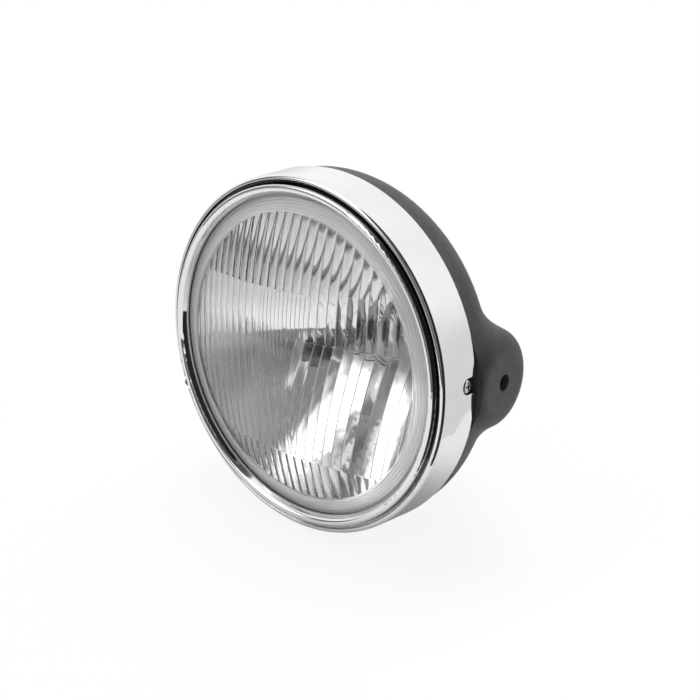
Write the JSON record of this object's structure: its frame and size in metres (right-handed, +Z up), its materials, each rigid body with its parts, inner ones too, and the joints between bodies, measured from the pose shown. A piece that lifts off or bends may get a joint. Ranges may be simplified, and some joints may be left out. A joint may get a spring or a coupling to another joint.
{
  "type": "motorcycle headlight",
  "caption": "Round motorcycle headlight: satin black shell with blended side bosses, chromed trim ring, domed fluted glass over a mirrored reflector and bulb.",
  "frame": {"origin": "on the optical axis, midway between the two side fixing holes", "axes": "+X along the line through the side holes, to the right seen from the front; -Y the way the lamp shines; +Z up"},
  "size_m": [0.204, 0.1314, 0.196],
  "materials": {
    "black_shell": "satin",
    "chrome": "polished",
    "lens_glass": "clear, fluted inside",
    "reflector": "metallised",
    "zinc_steel": "zinc plated",
    "screw_steel": "bright plated",
    "rubber": "matt",
    "bulb_glass": "clear",
    "filament_wire": "bare wire",
    "bulb_base": "moulded",
    "brass": "bare"
  },
  "bodies": {
    "root": {"shell": "black_shell", "trim_ring": "chrome", "lens": "lens_glass", "lens_gasket": "rubber", "reflector": "reflector", "retaining_rim": "zinc_steel", "shell_seal": "rubber", "ring_screws": "screw_steel", "ring_nuts": "zinc_steel", "adjuster_screw": "screw_steel", "mount_nuts": "zinc_steel", "bulb_collar": "zinc_steel", "bulb_glass": "bulb_glass", "filaments": "filament_wire", "dip_shield": "filament_wire", "bulb_base": "bulb_base", "bulb_terminals": "brass", "bulb_clip": "screw_steel", "bulb_boot": "rubber", "cable_grommet": "rubber"}
  },
  "joints": []
}
